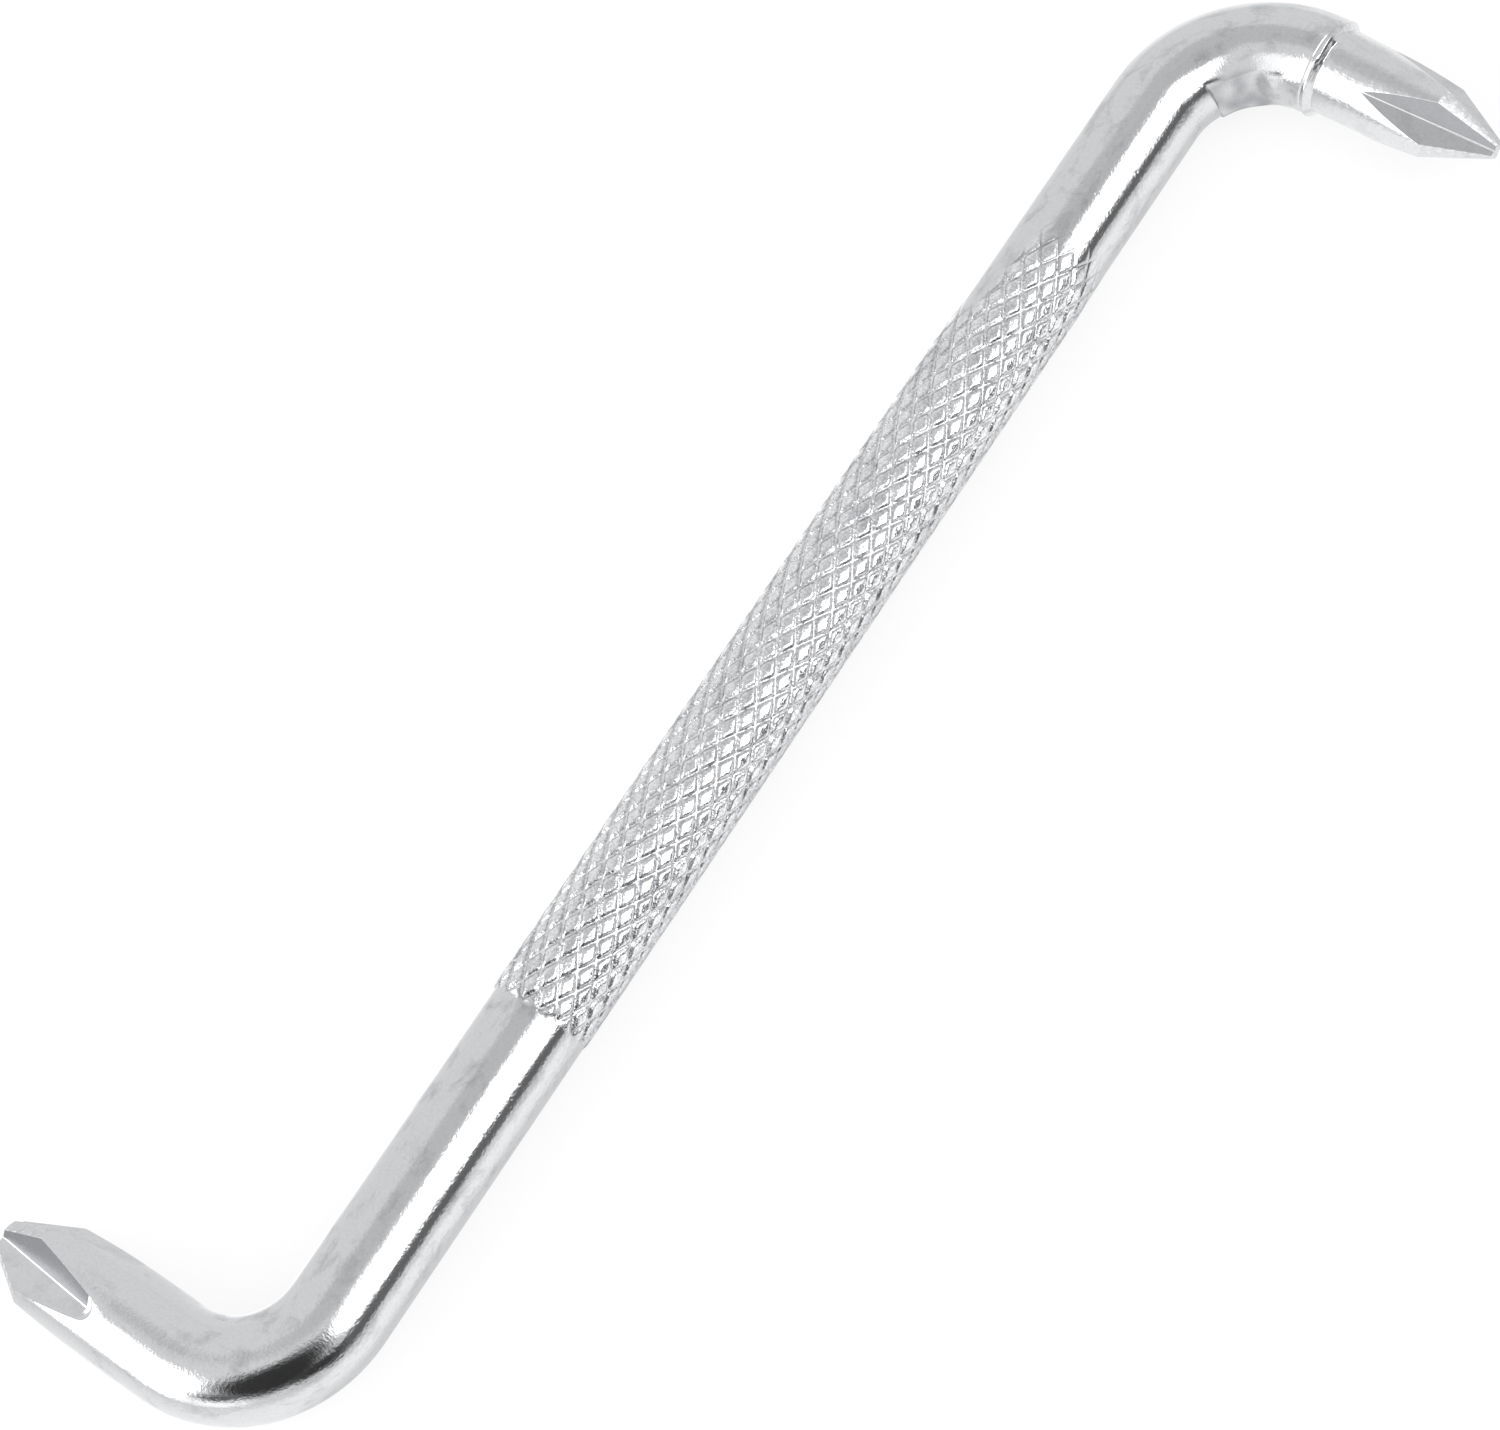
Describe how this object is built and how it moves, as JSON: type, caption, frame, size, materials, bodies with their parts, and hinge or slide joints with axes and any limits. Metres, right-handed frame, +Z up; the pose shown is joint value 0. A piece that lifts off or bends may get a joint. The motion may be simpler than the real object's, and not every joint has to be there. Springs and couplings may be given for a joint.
{
  "type": "offset screwdriver",
  "caption": "Offset screwdriver made of one round steel bar: a diamond-knurled middle and an arm bent off at each end, with a small and a large cross-point tip.",
  "frame": {"origin": "middle of the tool's box, at the level it rests on when it lies flat", "axes": "+Z up out of the plane of the two arms, +Y along the bar towards the smaller tip, +X the way the smaller tip's arm points"},
  "size_m": [0.0405, 0.1106, 0.0066],
  "materials": {
    "plated_steel": "bright nickel plate, slightly mottled and pitted",
    "knurled_plated_steel": "bright nickel plate over rolled diamond knurling"
  },
  "bodies": {
    "root": {"knurled_grip": "knurled_plated_steel", "lower_shank": "plated_steel", "lower_bend": "plated_steel", "lower_arm": "plated_steel", "lower_tip": "plated_steel", "upper_shank": "plated_steel", "upper_bend": "plated_steel", "upper_collar": "plated_steel", "upper_neck": "plated_steel", "upper_tip": "plated_steel"}
  },
  "joints": []
}
